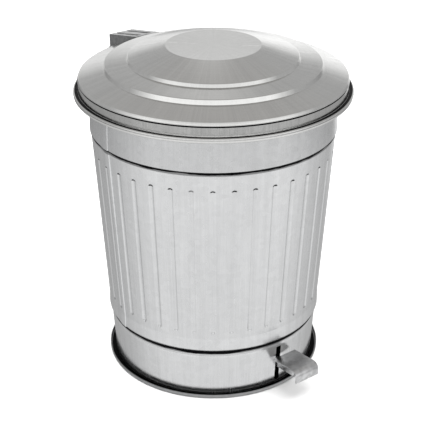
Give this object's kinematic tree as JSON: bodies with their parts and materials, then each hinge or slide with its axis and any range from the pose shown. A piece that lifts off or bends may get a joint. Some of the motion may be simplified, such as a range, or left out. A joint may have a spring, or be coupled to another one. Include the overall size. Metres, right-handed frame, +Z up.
{
  "type": "pedal bin",
  "caption": "Round tapered fluted sheet-metal bin with a domed stepped lid hinged at the back, foot pedal, lift rod and a lift-out bucket with bail.",
  "frame": {"origin": "on the floor, in the middle of the whole bin's box; the body's axis is 12 mm from it towards -Y", "axes": "+Z up, the pedal points to -Y and the hinge is at +Y"},
  "size_m": [0.3596, 0.405, 0.4393],
  "materials": {
    "zinc_body": "galvanized sheet with fine spangle",
    "zinc_lid": "galvanized sheet, brushed in turning",
    "zinc_bucket": "galvanized sheet, dull",
    "zinc_floor": "galvanized sheet, dull",
    "zinc_bracket": "galvanized pressed steel",
    "plated_steel": "zinc-plated wire and bar",
    "rivet_steel": "zinc-plated rivets"
  },
  "bodies": {
    "bin": {"body_shell": "zinc_body", "body_rim_wire": "plated_steel", "body_floor": "zinc_floor", "base_collar": "zinc_body", "hinge_bracket": "zinc_bracket", "hinge_pin": "plated_steel", "hinge_washer_left": "plated_steel", "hinge_washer_right": "plated_steel", "hinge_bracket_rivet_1": "rivet_steel", "hinge_bracket_rivet_2": "rivet_steel", "hinge_bracket_rivet_3": "rivet_steel", "hinge_bracket_rivet_4": "rivet_steel", "rod_guide_lower": "zinc_bracket", "rod_guide_lower_rivet_right": "rivet_steel", "rod_guide_lower_rivet_left": "rivet_steel", "rod_guide_upper": "zinc_bracket", "rod_guide_upper_rivet_right": "rivet_steel", "rod_guide_upper_rivet_left": "rivet_steel", "pedal_pivot_bracket": "zinc_bracket", "pedal_axle": "plated_steel", "pivot_spacer_left": "plated_steel", "pivot_spacer_right": "plated_steel", "pivot_bracket_rivet_1": "rivet_steel", "pivot_bracket_rivet_2": "rivet_steel"},
    "lid": {"lid_shell": "zinc_lid", "lid_rim_wire": "plated_steel", "lid_hinge_strap": "zinc_bracket", "lift_pin": "plated_steel", "strap_rivet_1": "rivet_steel", "strap_rivet_2": "rivet_steel", "strap_rivet_3": "rivet_steel", "strap_rivet_4": "rivet_steel"},
    "pedal": {"pedal_lever": "zinc_bracket", "pedal_tread": "zinc_bracket"},
    "rod": {"lift_rod": "plated_steel", "rod_cap": "plated_steel"},
    "bucket": {"bucket_shell": "zinc_bucket", "bucket_ear_left": "zinc_bucket", "bucket_ear_rivet_left": "rivet_steel", "bucket_ear_right": "zinc_bucket", "bucket_ear_rivet_right": "rivet_steel"},
    "bail": {"bail_wire": "plated_steel", "bail_grip": "zinc_bucket"}
  },
  "joints": [
    {"name": "lid_hinge", "type": "hinge", "parent": "bin", "child": "lid", "pos_m": [0, 0.194, 0.38], "axis": [-1, 0, 0], "range_deg": [0, 75]},
    {"name": "pedal_hinge", "type": "hinge", "parent": "bin", "child": "pedal", "pos_m": [0, -0.032, 0.0256], "axis": [1, 0, 0], "range_deg": [0, 9.25]},
    {"name": "rod_slide", "type": "slide", "parent": "bin", "child": "rod", "axis": [0, 0.0613, 0.9981], "range_m": [0, 0.0293]},
    {"name": "bucket_lift", "type": "slide", "parent": "bin", "child": "bucket", "axis": [0, 0, 1], "range_m": [0, 0.02]},
    {"name": "bail_swing", "type": "hinge", "parent": "bucket", "child": "bail", "pos_m": [0, -0.012, 0.3547], "axis": [-1, 0, 0], "range_deg": [0, 10]}
  ],
  "couplings": [
    {"joint": "pedal_hinge", "follows": "lid_hinge", "ratio": 0.12281},
    {"joint": "rod_slide", "follows": "lid_hinge", "m_per_rad": 0.022323}
  ]
}
